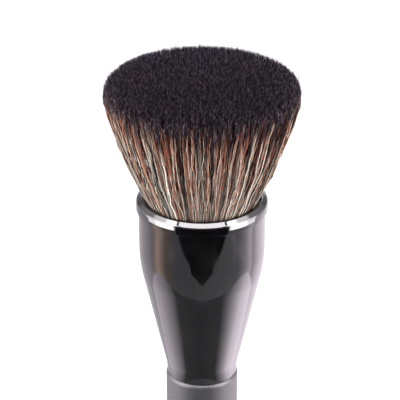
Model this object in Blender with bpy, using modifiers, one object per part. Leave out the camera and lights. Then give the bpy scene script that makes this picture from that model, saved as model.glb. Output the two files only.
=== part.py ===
"""Flat-topped powder brush, standing upright on the flat end of its handle.

The brush is a turned handle whose tenon is glued into the narrow end of a thin
drawn ferrule. The ferrule holds a dense knot of bristles. The knot's roots are
tied with thread and set in a cup of resin. The bristles pass the rolled lip of
the ferrule side by side and then spread into a wide, softly rounded flat top.

Lengths are in metres. The origin is the centre of the handle's flat end, and
+Z runs along the brush to the bristle tips.
"""

import math
import random

import bmesh
import bpy
from mathutils import Matrix

# Clearances between neighbouring pieces
SEAT_GAP = 0.0003
FIT_GAP = 0.0003
MERGE_DISTANCE = 0.00001

# Handle
HANDLE_LENGTH = 0.086
HANDLE_PROUD_OF_NECK = 0.00025
HANDLE_TAPER = 0.00055
HANDLE_SHOULDER_ROUNDING = 0.0009
HANDLE_END_ROUNDING = 0.001
TENON_ROUNDING = 0.0006
GLUE_GROOVE_DEPTH = 0.0004
GLUE_GROOVE_WIDTH = 0.0018
GLUE_GROOVE_COUNT = 3
SHOULDER_ROUNDING_LIMIT_SHARE = 0.9

# Ferrule
NECK_LENGTH = 0.0015
NECK_RADIUS = 0.0078
NECK_FILLET = 0.013
CONE_LENGTH = 0.0278
COLLAR_LENGTH = 0.0146
COLLAR_RADIUS = 0.01385
COLLAR_FILLET = 0.008
FERRULE_WALL = 0.0006
LIP_PROUD = 0.00055
LIP_INWARD = 0.00075
LIP_HEIGHT = 0.0029
LIP_TOP_WIDTH = 0.00075
LIP_SLOPE_DROP = 0.001
LIP_INNER_DEPTH = 0.0017
LIP_UNDERSIDE_DROP = 0.0005
LIP_INNER_ROUNDING = 0.00045
LIP_TOP_ROUNDING = 0.00035
LIP_SHOULDER_ROUNDING = 0.0006
LIP_FOOT_ROUNDING = 0.0002

# Knot of bristles inside the ferrule
ROOT_BELOW_LIP = 0.0030
ROOT_ABOVE_CONE = 0.0026
RESIN_DEPTH = 0.0116
CUP_WALL_HEIGHT = 0.004
BINDING_THREAD = 0.0007
BINDING_BELOW_ROOT_TOP = 0.002

# Bristle head above the lip
HEAD_HEIGHT = 0.0278
HEAD_RADIUS = 0.02135
HEAD_WIDEST_BELOW_TOP = 0.0046
CROWN_RIM_WIDTH = 0.003
CROWN_DOME = 0.0005
CROWN_RIM_POWER = 3
WAIST_ABOVE_LIP = 0.0105
WAIST_RADIUS = 0.0173

# Strands
STRAND_RINGS = 9
CORE_RINGS = 5
MIDDLE_RINGS = 7
STRAND_GAP = 0.00016
TUFT_GAP = 0.0003
STRAND_LENGTH_SPREAD = 0.0003
STRAND_SEED = 7

# Smoothness of the turned pieces
HANDLE_STEPS = 40
FERRULE_STEPS = 48
INNER_STEPS = 36
BINDING_STEPS = 32
ARC_STEP = math.radians(24)
FLAT_FILLET_STEPS = 4
HANDLE_SIDE_STEPS = 5

# Radii that follow from the pieces around them
HANDLE_RADIUS = NECK_RADIUS + HANDLE_PROUD_OF_NECK
HANDLE_END_RADIUS = HANDLE_RADIUS - HANDLE_TAPER
NECK_BORE = NECK_RADIUS - FERRULE_WALL
COLLAR_BORE = COLLAR_RADIUS - FERRULE_WALL
TENON_RADIUS = NECK_BORE - FIT_GAP
LIP_RADIUS = COLLAR_RADIUS + LIP_PROUD
MOUTH_RADIUS = COLLAR_BORE - LIP_INWARD
HEAD_MOUTH_RADIUS = MOUTH_RADIUS - FIT_GAP
ROOT_RADIUS = HEAD_MOUTH_RADIUS + STRAND_GAP / 2
RESIN_RADIUS = COLLAR_BORE - FIT_GAP
CUP_BORE = ROOT_RADIUS + FIT_GAP

# Heights of the assembly, from the handle's end up
SHOULDER_HEIGHT = HANDLE_LENGTH
FERRULE_FOOT = SHOULDER_HEIGHT + SEAT_GAP
CONE_FOOT = FERRULE_FOOT + NECK_LENGTH
COLLAR_FOOT = CONE_FOOT + CONE_LENGTH
LIP_TOP = COLLAR_FOOT + COLLAR_LENGTH
LIP_FOOT = LIP_TOP - LIP_HEIGHT
ROOT_TOP = LIP_TOP - ROOT_BELOW_LIP
ROOT_FOOT = COLLAR_FOOT + ROOT_ABOVE_CONE
CUP_FLOOR = ROOT_FOOT - SEAT_GAP
CUP_RIM = CUP_FLOOR + CUP_WALL_HEIGHT
RESIN_FOOT = CUP_FLOOR - RESIN_DEPTH
TENON_TOP = RESIN_FOOT - SEAT_GAP
BINDING_FOOT = CUP_RIM + SEAT_GAP
MOUTH_HEIGHT = LIP_TOP - LIP_INNER_ROUNDING
WAIST_HEIGHT = LIP_TOP + WAIST_ABOVE_LIP
HEAD_TOP = LIP_TOP + HEAD_HEIGHT
HEAD_WIDEST_HEIGHT = HEAD_TOP - HEAD_WIDEST_BELOW_TOP

# Colours, roughness and metallic values of the finishes
FINISHES = {
    "handle": ((0.030, 0.030, 0.032), 0.38, 0.0),
    "ferrule": ((0.012, 0.012, 0.014), 0.08, 0.35),
    "resin_plug": ((0.32, 0.22, 0.10), 0.25, 0.0),
    "root_binding": ((0.72, 0.68, 0.58), 0.85, 0.0),
    "bristles_core": ((0.022, 0.018, 0.022), 0.75, 0.0),
    "bristles_middle": ((0.050, 0.032, 0.030), 0.75, 0.0),
    "bristles_outer": ((0.27, 0.17, 0.12), 0.70, 0.0),
}


def clear_scene():
    """Remove every object that the file opened with."""
    for item in list(bpy.data.objects):
        bpy.data.objects.remove(item, do_unlink=True)


def make_collection(name):
    """Return a new collection linked to the scene."""
    collection = bpy.data.collections.new(name)
    bpy.context.scene.collection.children.link(collection)
    return collection


def make_finish(name):
    """Return the Principled material of one piece."""
    colour, roughness, metallic = FINISHES[name]
    material = bpy.data.materials.new(name)
    material.use_nodes = True
    shader = material.node_tree.nodes["Principled BSDF"]
    shader.inputs["Base Color"].default_value = (*colour, 1.0)
    shader.inputs["Roughness"].default_value = roughness
    shader.inputs["Metallic"].default_value = metallic
    return material


def place_piece(name, mesh, collection):
    """Put a mesh in the collection as the piece of that name."""
    piece = bpy.data.objects.new(name, mesh)
    mesh.materials.append(make_finish(name))
    collection.objects.link(piece)
    return piece


def arc_points(centre, radius, start, end, steps):
    """Points of an arc round centre, from one angle to another."""
    points = []
    for step in range(steps + 1):
        angle = start + (end - start) * step / steps
        x = centre[0] + radius * math.cos(angle)
        z = centre[1] + radius * math.sin(angle)
        points.append((x, z))
    return points


def fillet_points(before, corner, after, radius):
    """Points of the arc that rounds a corner between its two neighbours."""
    back = math.atan2(before[1] - corner[1], before[0] - corner[0])
    ahead = math.atan2(after[1] - corner[1], after[0] - corner[0])
    opening = (ahead - back + math.pi) % (2 * math.pi) - math.pi
    half = abs(opening) / 2
    reach = radius / math.tan(half)
    distance = radius / math.sin(half)
    middle = back + opening / 2
    centre_x = corner[0] + distance * math.cos(middle)
    centre_z = corner[1] + distance * math.sin(middle)
    start_x = corner[0] + reach * math.cos(back)
    start_z = corner[1] + reach * math.sin(back)
    start = math.atan2(start_z - centre_z, start_x - centre_x)
    turn = math.copysign(math.pi - abs(opening), -opening)
    steps = max(FLAT_FILLET_STEPS, math.ceil(abs(turn) / ARC_STEP))
    return arc_points((centre_x, centre_z), radius, start, start + turn, steps)


def rounded_outline(corners):
    """Turn (radius, height, rounding) corners into the points of an outline."""
    points = []
    for index, (x, z, rounding) in enumerate(corners):
        if rounding == 0:
            points.append((x, z))
            continue
        before = corners[index - 1]
        after = corners[(index + 1) % len(corners)]
        points.extend(fillet_points(before, (x, z), after, rounding))
    return points


def turned_piece(name, outline, closed, steps, collection):
    """Turn an outline round the Z axis with a Screw modifier.

    The outline runs down the outer side, from top to bottom.
    """
    count = len(outline)
    edges = [(index, index + 1) for index in range(count - 1)]
    if closed:
        edges.append((count - 1, 0))
    mesh = bpy.data.meshes.new(name)
    mesh.from_pydata([(x, 0.0, z) for x, z in outline], edges, [])
    piece = place_piece(name, mesh, collection)
    screw = piece.modifiers.new("turn", "SCREW")
    screw.axis = "Z"
    screw.angle = 2 * math.pi
    screw.steps = steps
    screw.render_steps = steps
    screw.use_merge_vertices = True
    screw.merge_threshold = MERGE_DISTANCE
    screw.use_smooth_shade = True
    return piece


def groove_corners():
    """Corners of the glue grooves round the tenon, from the top one down."""
    corners = []
    spacing = (TENON_TOP - SHOULDER_HEIGHT) / (GLUE_GROOVE_COUNT + 1)
    half = GLUE_GROOVE_WIDTH / 2
    floor = TENON_RADIUS - GLUE_GROOVE_DEPTH
    for groove in range(GLUE_GROOVE_COUNT):
        height = TENON_TOP - spacing * (groove + 1)
        corners.append((TENON_RADIUS, height + half, 0))
        corners.append((floor, height + half - GLUE_GROOVE_DEPTH, 0))
        corners.append((floor, height - half + GLUE_GROOVE_DEPTH, 0))
        corners.append((TENON_RADIUS, height - half, 0))
    return corners


def handle_side():
    """Points down the handle's side, which narrows gently to its end."""
    points = []
    for step in range(1, HANDLE_SIDE_STEPS):
        share = step / HANDLE_SIDE_STEPS
        radius = HANDLE_RADIUS - HANDLE_TAPER * share ** 2
        points.append((radius, SHOULDER_HEIGHT * (1 - share), 0))
    return points


def build_handle(collection):
    """Turned handle with its tenon, rounded shoulder and flat end."""
    widest_rounding = (HANDLE_RADIUS - TENON_RADIUS) * SHOULDER_ROUNDING_LIMIT_SHARE
    corners = [
        (0.0, TENON_TOP, 0),
        (TENON_RADIUS, TENON_TOP, TENON_ROUNDING),
        *groove_corners(),
        (TENON_RADIUS, SHOULDER_HEIGHT, 0),
        (HANDLE_RADIUS, SHOULDER_HEIGHT, min(HANDLE_SHOULDER_ROUNDING, widest_rounding)),
        *handle_side(),
        (HANDLE_END_RADIUS, 0.0, HANDLE_END_ROUNDING),
        (0.0, 0.0, 0),
    ]
    return turned_piece("handle", rounded_outline(corners), False, HANDLE_STEPS, collection)


def lip_corners():
    """Corners of the rolled lip, from the bore over the top to the collar."""
    inner_foot = LIP_TOP - LIP_INNER_DEPTH
    return [
        (COLLAR_BORE, inner_foot - LIP_UNDERSIDE_DROP, 0),
        (MOUTH_RADIUS, inner_foot, 0),
        (MOUTH_RADIUS, LIP_TOP, LIP_INNER_ROUNDING),
        (MOUTH_RADIUS + LIP_TOP_WIDTH, LIP_TOP, LIP_TOP_ROUNDING),
        (LIP_RADIUS, LIP_TOP - LIP_SLOPE_DROP, LIP_SHOULDER_ROUNDING),
        (LIP_RADIUS, LIP_FOOT, LIP_FOOT_ROUNDING),
        (COLLAR_RADIUS, LIP_FOOT, 0),
    ]


def build_ferrule(collection):
    """Thin drawn ferrule: rolled lip, straight collar, cone and short neck."""
    corners = [
        *lip_corners(),
        (COLLAR_RADIUS, COLLAR_FOOT, COLLAR_FILLET),
        (NECK_RADIUS, CONE_FOOT, NECK_FILLET),
        (NECK_RADIUS, FERRULE_FOOT, 0),
        (NECK_BORE, FERRULE_FOOT, 0),
        (NECK_BORE, CONE_FOOT, NECK_FILLET),
        (COLLAR_BORE, COLLAR_FOOT, COLLAR_FILLET),
    ]
    return turned_piece("ferrule", rounded_outline(corners), True, FERRULE_STEPS, collection)


def cone_radius(height):
    """Outer radius of the ferrule's cone at a height, before its fillets."""
    share = (height - CONE_FOOT) / CONE_LENGTH
    return NECK_RADIUS + (COLLAR_RADIUS - NECK_RADIUS) * share


def build_resin_plug(collection):
    """Cup of resin that fills the ferrule behind the roots and round them."""
    foot_radius = cone_radius(RESIN_FOOT) - FERRULE_WALL - FIT_GAP
    corners = [
        (0.0, CUP_FLOOR, 0),
        (CUP_BORE, CUP_FLOOR, 0),
        (CUP_BORE, CUP_RIM, 0),
        (RESIN_RADIUS, CUP_RIM, 0),
        (RESIN_RADIUS, COLLAR_FOOT, COLLAR_FILLET),
        (foot_radius, RESIN_FOOT, 0),
        (0.0, RESIN_FOOT, 0),
    ]
    return turned_piece("resin_plug", rounded_outline(corners), False, INNER_STEPS, collection)


def build_root_binding(collection):
    """Turns of thread, side by side, tied round the roots above the resin."""
    room = ROOT_TOP - BINDING_BELOW_ROOT_TOP - BINDING_FOOT
    turns = max(1, math.floor(room / BINDING_THREAD))
    groove = (CUP_BORE + RESIN_RADIUS) / 2
    top = BINDING_FOOT + BINDING_THREAD * turns
    points = [(CUP_BORE, BINDING_FOOT), (CUP_BORE, top)]
    for turn in range(turns):
        height = top - BINDING_THREAD * turn
        points.append((groove, height))
        points.append((RESIN_RADIUS, height - BINDING_THREAD / 4))
        points.append((RESIN_RADIUS, height - BINDING_THREAD * 3 / 4))
    points.append((groove, BINDING_FOOT))
    return turned_piece("root_binding", points, True, BINDING_STEPS, collection)


def head_radius(height):
    """Outer radius of the bristle head at a height, before its rounded rim."""
    levels = [
        (MOUTH_HEIGHT, HEAD_MOUTH_RADIUS),
        (WAIST_HEIGHT, WAIST_RADIUS),
        (HEAD_WIDEST_HEIGHT, HEAD_RADIUS),
    ]
    low, high = levels[:2] if height < WAIST_HEIGHT else levels[1:]
    share = (height - low[0]) / (high[0] - low[0])
    return low[1] + (high[1] - low[1]) * share


def crown_height(radius):
    """Height of the domed top and its rounded rim at a distance from the axis."""
    flat_radius = HEAD_RADIUS - CROWN_RIM_WIDTH
    if radius <= flat_radius:
        return HEAD_TOP - CROWN_DOME * (radius / flat_radius) ** 2
    share = min(1.0, (radius - flat_radius) / CROWN_RIM_WIDTH)
    rim_drop = HEAD_WIDEST_BELOW_TOP - CROWN_DOME
    return HEAD_WIDEST_HEIGHT + rim_drop * (1 - share ** CROWN_RIM_POWER) ** (1 / CROWN_RIM_POWER)


def tip_height(spread):
    """Height where a bristle, at that share of the head's radius, meets the crown."""
    low = WAIST_HEIGHT
    high = HEAD_TOP
    while high - low > MERGE_DISTANCE:
        middle = (low + high) / 2
        if crown_height(spread * head_radius(middle)) > middle:
            low = middle
        else:
            high = middle
    return low


def hexagon_ring(x, y):
    """Share of the way from the centre to the edge of a unit hexagon."""
    reach = 0.0
    for side in range(6):
        angle = math.radians(60 * side + 30)
        reach = max(reach, x * math.cos(angle) + y * math.sin(angle))
    return reach / math.cos(math.radians(30))


def round_hexagon(vert):
    """Move a point of a unit hexagon to the same ring of a unit circle."""
    ring = hexagon_ring(vert.co.x, vert.co.y)
    if ring < 0.5 / STRAND_RINGS:
        return
    sixth = math.radians(60)
    angle = math.atan2(vert.co.y, vert.co.x) % (2 * math.pi)
    sector = math.floor(angle / sixth)
    along = 0.5 + math.tan(angle - sector * sixth - sixth / 2) / (2 * math.tan(sixth / 2))
    turned = (sector + along) * sixth
    vert.co.x = ring * math.cos(turned)
    vert.co.y = ring * math.sin(turned)


def strand_footprints(first_ring, last_ring):
    """Flat mesh of triangles, one for each strand, from one ring to another.

    A fan of six triangles is divided into rings of small triangles and
    rounded to a circle of radius 1. Only the wanted rings are kept.
    """
    bm = bmesh.new()
    turned = Matrix.Rotation(math.radians(30), 4, "Z")
    bmesh.ops.create_circle(bm, cap_ends=True, cap_tris=True, segments=6, radius=1.0, matrix=turned)
    cuts = STRAND_RINGS - 1
    bmesh.ops.subdivide_edges(bm, edges=bm.edges[:], cuts=cuts, use_grid_fill=True)
    unwanted = []
    for face in bm.faces:
        centre = face.calc_center_median()
        ring = math.ceil(hexagon_ring(centre.x, centre.y) * STRAND_RINGS)
        if not first_ring <= ring <= last_ring:
            unwanted.append(face)
    bmesh.ops.delete(bm, geom=unwanted, context="FACES")
    for vert in bm.verts:
        round_hexagon(vert)
    return bm


def size_footprints(bm, first_ring, last_ring):
    """Scale the footprints to the roots, with a gap to the next tuft."""
    inner_edge = (first_ring - 1) / STRAND_RINGS
    outer_edge = last_ring / STRAND_RINGS
    inner = inner_edge * ROOT_RADIUS
    outer = outer_edge * ROOT_RADIUS
    if first_ring > 1:
        inner += TUFT_GAP / 2
    if last_ring < STRAND_RINGS:
        outer -= TUFT_GAP / 2
    for vert in bm.verts:
        ring = math.hypot(vert.co.x, vert.co.y)
        share = (ring - inner_edge) / (outer_edge - inner_edge)
        radius = inner + (outer - inner) * share
        factor = radius / ring if ring > 0 else 0.0
        vert.co.x *= factor
        vert.co.y *= factor
        vert.co.z = ROOT_TOP


def close_root_block(bm, has_bore):
    """Give the footprints the walls and the foot of the bound roots below."""
    border = [edge for edge in bm.edges if edge.is_boundary]
    walls = bmesh.ops.extrude_edge_only(bm, edges=border)["geom"]
    foot_verts = [item for item in walls if isinstance(item, bmesh.types.BMVert)]
    foot_edges = [item for item in walls if isinstance(item, bmesh.types.BMEdge) and item.is_boundary]
    bmesh.ops.translate(bm, verts=foot_verts, vec=(0.0, 0.0, ROOT_FOOT - ROOT_TOP))
    if has_bore:
        bmesh.ops.bridge_loops(bm, edges=foot_edges)
    else:
        bmesh.ops.edgeloop_fill(bm, edges=foot_edges)


def separate_strands(bm, footprints):
    """Draw each footprint up to the ferrule's mouth, a gap apart from the next."""
    strands = bmesh.ops.extrude_discrete_faces(bm, faces=footprints)["faces"]
    for strand in strands:
        centre = strand.calc_center_median()
        inner_circle = 2 * strand.calc_area() / strand.calc_perimeter()
        share = 1 - STRAND_GAP / 2 / inner_circle
        for vert in strand.verts:
            vert.co = centre + (vert.co - centre) * share
            vert.co.z = MOUTH_HEIGHT
    return strands


def move_along_strand(vert, height):
    """Move a point of a strand to a height, outwards as the whole head spreads."""
    factor = head_radius(height) / head_radius(vert.co.z)
    vert.co.x *= factor
    vert.co.y *= factor
    vert.co.z = height


def grow_to_waist(bm, strands):
    """Extrude the strands to the level where the head's side bends."""
    grown = bmesh.ops.extrude_discrete_faces(bm, faces=strands)["faces"]
    for strand in grown:
        for vert in strand.verts:
            move_along_strand(vert, WAIST_HEIGHT)
    return grown


def grow_to_crown(bm, strands, chance):
    """Extrude the strands to the domed top, each a little shorter or longer."""
    grown = bmesh.ops.extrude_discrete_faces(bm, faces=strands)["faces"]
    for strand in grown:
        shortfall = chance.uniform(0.0, STRAND_LENGTH_SPREAD)
        for vert in strand.verts:
            reach = math.hypot(vert.co.x, vert.co.y) / head_radius(vert.co.z)
            move_along_strand(vert, tip_height(reach) - shortfall)


def build_tuft(name, first_ring, last_ring, bent, collection):
    """Strands of some of the knot's rings, grown from one block of bound roots."""
    bm = strand_footprints(first_ring, last_ring)
    size_footprints(bm, first_ring, last_ring)
    footprints = bm.faces[:]
    close_root_block(bm, first_ring > 1)
    strands = separate_strands(bm, footprints)
    if bent:
        strands = grow_to_waist(bm, strands)
    grow_to_crown(bm, strands, random.Random(STRAND_SEED + first_ring))
    bmesh.ops.recalc_face_normals(bm, faces=bm.faces[:])
    mesh = bpy.data.meshes.new(name)
    bm.to_mesh(mesh)
    bm.free()
    return place_piece(name, mesh, collection)


def main():
    """Build the brush."""
    clear_scene()
    collection = make_collection("powder_brush")
    build_handle(collection)
    build_ferrule(collection)
    build_resin_plug(collection)
    build_root_binding(collection)
    build_tuft("bristles_core", 1, CORE_RINGS, False, collection)
    build_tuft("bristles_middle", CORE_RINGS + 1, MIDDLE_RINGS, True, collection)
    build_tuft("bristles_outer", MIDDLE_RINGS + 1, STRAND_RINGS, True, collection)


main()
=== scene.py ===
"""Looks of the flat-topped powder brush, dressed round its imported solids.

The handle and the ferrule are turned again at full smoothness, the thread and
the resin inside get their real forms, and the bristle head is grown as many
thousands of fine tapered fibres that wave and draw together in locks. Lengths
are in metres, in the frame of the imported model.
"""

import logging
import math
from dataclasses import dataclass
from enum import Enum
from typing import Any, Callable, Iterable, Sequence

import bmesh
import bpy
import numpy as np
from mathutils import Matrix, Vector
from mathutils.kdtree import KDTree


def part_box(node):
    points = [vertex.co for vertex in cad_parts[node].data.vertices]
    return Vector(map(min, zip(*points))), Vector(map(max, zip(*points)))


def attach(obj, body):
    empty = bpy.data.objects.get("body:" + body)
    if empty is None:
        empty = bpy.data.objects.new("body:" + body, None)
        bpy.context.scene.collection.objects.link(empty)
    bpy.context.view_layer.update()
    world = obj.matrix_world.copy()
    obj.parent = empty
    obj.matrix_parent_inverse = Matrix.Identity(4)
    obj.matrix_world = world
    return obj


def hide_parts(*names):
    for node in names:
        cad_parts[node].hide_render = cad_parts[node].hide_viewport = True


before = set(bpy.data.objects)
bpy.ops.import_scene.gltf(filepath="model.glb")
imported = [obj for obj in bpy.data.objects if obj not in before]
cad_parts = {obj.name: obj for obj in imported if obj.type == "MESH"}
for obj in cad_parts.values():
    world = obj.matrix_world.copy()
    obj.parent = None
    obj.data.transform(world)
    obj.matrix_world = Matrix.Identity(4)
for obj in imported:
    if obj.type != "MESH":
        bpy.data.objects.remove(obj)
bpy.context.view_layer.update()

LOG = logging.getLogger("powder_brush")
BODY = "root"
BAKE_MAP = "OFBake"
FULL_TURN = 2 * math.pi
GOLDEN_ANGLE = math.pi * (3 - math.sqrt(5))
TINY_LENGTH = 0.000001


def math_operator(operation: str, flipped: bool = False) -> Callable:
    """Python operator that adds a Math node.

    Args:
        operation: What the node does with its two values.
        flipped: Whether the link stands on the right of the sign.

    Returns:
        Method for the class of links.
    """
    def join(link: "Link", other: "Link | float") -> "Link":
        """Math node of the link and the other value."""
        values = (other, link) if flipped else (link, other)
        return link.graph.maths(operation, *values)

    return join


class Link:
    """Output of a node, on which Python arithmetic adds Math nodes."""

    __add__ = math_operator("ADD")
    __radd__ = math_operator("ADD", flipped=True)
    __sub__ = math_operator("SUBTRACT")
    __rsub__ = math_operator("SUBTRACT", flipped=True)
    __mul__ = math_operator("MULTIPLY")
    __truediv__ = math_operator("DIVIDE")
    __pow__ = math_operator("POWER")

    def __init__(self, graph: "Graph", socket: bpy.types.NodeSocket) -> None:
        """Wrap one output socket of a graph."""
        self.graph = graph
        self.socket = socket


class Graph:
    """Node tree of one material, or of the world."""

    def __init__(self, tree: bpy.types.NodeTree) -> None:
        """Take over a node tree that holds Blender's default nodes."""
        self.tree = tree

    def feed(self, node: bpy.types.Node, values: dict) -> None:
        """Link or set inputs of a node.

        Args:
            node: The node.
            values: Links, or what the inputs hold, by name or number.
        """
        for name, value in values.items():
            if isinstance(value, Link):
                self.tree.links.new(value.socket, node.inputs[name])
            else:
                node.inputs[name].default_value = value

    def node(self, kind: str, values: dict | None = None, output: int | str = 0, **settings: Any) -> Link:
        """Add a node.

        Args:
            kind: Node type.
            values: Values or links of the inputs, by name or number.
            output: Name or number of the output to use.
            settings: Properties of the node.

        Returns:
            The chosen output.
        """
        made = self.tree.nodes.new(kind)
        for name, value in settings.items():
            setattr(made, name, value)
        self.feed(made, values or {})
        return Link(self, made.outputs[output])

    def maths(self, operation: str, first: "Link | float", second: "Link | float" = 0.0) -> Link:
        """Output of a Math node with up to two values."""
        return self.node("ShaderNodeMath", {0: first, 1: second}, operation=operation)

    def mix(self, share: "Link | float", first: Any, second: Any, blend: str = "MIX") -> Link:
        """Mix two colours.

        Args:
            share: How much of the second colour shows.
            first: Colour or link.
            second: Colour or link.
            blend: Blend type of the Mix node.

        Returns:
            The mixed colour.
        """
        colours = [c if isinstance(c, Link) else (*c, 1.0) for c in (first, second)]
        values = {0: share, 6: colours[0], 7: colours[1]}
        return self.node("ShaderNodeMix", values, 2, data_type="RGBA", blend_type=blend)

    def fit(self, value: Link, low: float, high: float, start: float = 0.0, end: float = 1.0) -> Link:
        """Map a value smoothly from one range to another."""
        numbers = {0: value, 1: low, 2: high, 3: start, 4: end}
        return self.node("ShaderNodeMapRange", numbers, interpolation_type="SMOOTHSTEP")

    def ramp(self, place: Link, stops: Sequence[tuple], kind: str = "LINEAR") -> Link:
        """Look a colour up on a ramp.

        Args:
            place: Where to look.
            stops: Pairs of place and colour, in order.
            kind: Interpolation between the stops.

        Returns:
            The colour.
        """
        found = self.node("ShaderNodeValToRGB", {"Fac": place})
        ramp = found.socket.node.color_ramp
        ramp.interpolation = kind
        while len(ramp.elements) < len(stops):
            ramp.elements.new(1.0)
        for element, (position, colour) in zip(ramp.elements, stops):
            element.position = position
            element.color = (*colour, 1.0)
        return found

    def place(self) -> Link:
        """Object coordinates, in metres of the model."""
        return self.node("ShaderNodeTexCoord", output="Object")

    def plan(self) -> tuple[Link, Link]:
        """X and Y of the object coordinates."""
        x = self.node("ShaderNodeSeparateXYZ", {0: self.place()})
        return x, Link(self, x.socket.node.outputs[1])

    def reach(self, x: Link, y: Link) -> Link:
        """Length of a flat offset."""
        return self.maths("SQRT", x * x + y * y)

    def cells(self, scale: float, output: str = "Distance") -> Link:
        """Cells of a Voronoi pattern."""
        return self.node("ShaderNodeTexVoronoi", {"Vector": self.place(), "Scale": scale}, output)

    def carried(self, name: str) -> Link:
        """Number that the mesh carries at each point."""
        return self.node("ShaderNodeAttribute", output="Fac", attribute_name=name)

    def any_ray(self, *kinds: str) -> Link:
        """One where a ray is of any of some kinds, else zero."""
        found = [self.node("ShaderNodeLightPath", output=f"Is {kind} Ray") for kind in kinds]
        return self.maths("MINIMUM", sum(found[1:], found[0]), 1.0)

    def bump(self, height: Link, depth: float, strength: float = 1.0, under: Link | None = None) -> Link:
        """Turn a relief into a normal.

        Args:
            height: Height of the relief, from 0 to 1.
            depth: Its depth in metres.
            strength: How much of it shows.
            under: Normal that it lies over.

        Returns:
            The normal.
        """
        values = {"Height": height, "Distance": depth, "Strength": strength}
        if under:
            values["Normal"] = under
        return self.node("ShaderNodeBump", values)


def new_material(name: str) -> tuple[bpy.types.Material, Graph, bpy.types.Node]:
    """Make a material with its default nodes.

    Args:
        name: Name of the material.

    Returns:
        The material, its graph and its shader.
    """
    material = bpy.data.materials.new(name)
    material.use_nodes = True
    return material, Graph(material.node_tree), material.node_tree.nodes["Principled BSDF"]


def finish_mesh(bm: bmesh.types.BMesh, name: str) -> bpy.types.Mesh:
    """Keep a working mesh, and free it.

    Args:
        bm: The working mesh.
        name: Name of the kept one.

    Returns:
        The kept mesh.
    """
    mesh = bpy.data.meshes.new(name)
    bm.to_mesh(mesh)
    bm.free()
    return mesh


def add_object(name: str, data: bpy.types.ID) -> bpy.types.Object:
    """Add an object to the scene, unturned at the origin.

    Args:
        name: Name of the object.
        data: Mesh, lamp or camera.

    Returns:
        The object.
    """
    made = bpy.data.objects.new(name, data)
    bpy.context.scene.collection.objects.link(made)
    return made


@dataclass(frozen=True)
class Pattern:
    """Noise over a finish: patches in a metre, detail, range of values and squeeze along the brush."""

    scale: float
    detail: float = 3.0
    low: float = 0.0
    high: float = 0.0
    along: float = 1.0

    def lay(self, graph: Graph) -> Link:
        """Add the noise to a material.

        Args:
            graph: Graph of the material.

        Returns:
            Its value, fitted to the range if there is one.
        """
        where = graph.place()
        if self.along != 1.0:
            where = graph.node("ShaderNodeMapping", {"Vector": where, "Scale": (1.0, 1.0, self.along)})
        noise = graph.node("ShaderNodeTexNoise", {
            "Vector": where, "Scale": self.scale, "Detail": self.detail})
        return graph.fit(noise, self.low, self.high) if self.high else noise


@dataclass(frozen=True)
class Finish:
    """What every finish has: a name, the record's slot and its fixed shine."""

    name: str
    slot: str
    ior: float = 1.5
    specular: float = 0.5

    def paint(self, graph: Graph) -> dict[str, Any]:
        """Values and links of the shader's inputs, by name."""
        raise NotImplementedError

    def material(self) -> bpy.types.Material:
        """Make the finish a material, once.

        Returns:
            The material.
        """
        found = bpy.data.materials.get(self.name)
        if found:
            return found
        material, graph, shader = new_material(self.name)
        graph.feed(shader, {"IOR": self.ior, "Specular IOR Level": self.specular})
        graph.feed(shader, self.paint(graph))
        return material


@dataclass(frozen=True)
class GlossEnamel(Finish):
    """Deep black gloss of the drawn ferrule, with the faint film that handling leaves."""

    shade: tuple = (0.0035, 0.0035, 0.0040)
    film: tuple = (0.012, 0.011, 0.011)
    clean_roughness: float = 0.045
    film_roughness: float = 0.11
    smears: Pattern = Pattern(260.0, low=0.45, high=0.75, along=0.45)
    smear_share: float = 0.6
    specks: Pattern = Pattern(5200.0, 1.0, low=0.70, high=0.80)
    speck_share: float = 0.4
    ripple: Pattern = Pattern(380.0, 2.0)
    ripple_depth: float = 0.0000012

    def paint(self, graph: Graph) -> dict[str, Any]:
        """Mirror-like enamel, a little duller where it has been held.

        Args:
            graph: Graph of the material.

        Returns:
            Inputs of the shader, by name.
        """
        smears = self.smears.lay(graph)
        cover = smears * self.smear_share + self.specks.lay(graph) * self.speck_share
        return {
            "Base Color": graph.mix(cover, self.shade, self.film),
            "Roughness": self.clean_roughness + smears * (self.film_roughness - self.clean_roughness),
            "Normal": graph.bump(self.ripple.lay(graph), self.ripple_depth),
        }


@dataclass(frozen=True)
class SatinLacquer(Finish):
    """Black satin lacquer of the handle, over close-grained wood."""

    shade: tuple = (0.017, 0.017, 0.019)
    rubbed: tuple = (0.034, 0.033, 0.035)
    roughness: float = 0.46
    unevenness: float = 0.10
    grain: Pattern = Pattern(2600.0, 4.0, along=0.06)
    grain_share: float = 0.3
    grain_depth: float = 0.000012
    peel: Pattern = Pattern(2400.0, 1.0)
    peel_depth: float = 0.000005
    rubbing: Pattern = Pattern(150.0, low=0.42, high=0.72, along=0.3)
    rubbing_share: float = 0.5
    rubbing_dulling: float = 0.06

    def paint(self, graph: Graph) -> dict[str, Any]:
        """Satin coat whose sheen wavers with the grain that it covers.

        Args:
            graph: Graph of the material.

        Returns:
            Inputs of the shader, by name.
        """
        grain = self.grain.lay(graph)
        rubbing = self.rubbing.lay(graph)
        cover = rubbing * self.rubbing_share + grain * self.grain_share
        relief = graph.bump(grain, self.grain_depth)
        return {
            "Base Color": graph.mix(cover, self.shade, self.rubbed),
            "Roughness": self.roughness + (grain - 0.5) * self.unevenness + rubbing * self.rubbing_dulling,
            "Normal": graph.bump(self.peel.lay(graph), self.peel_depth, under=relief),
        }


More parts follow.
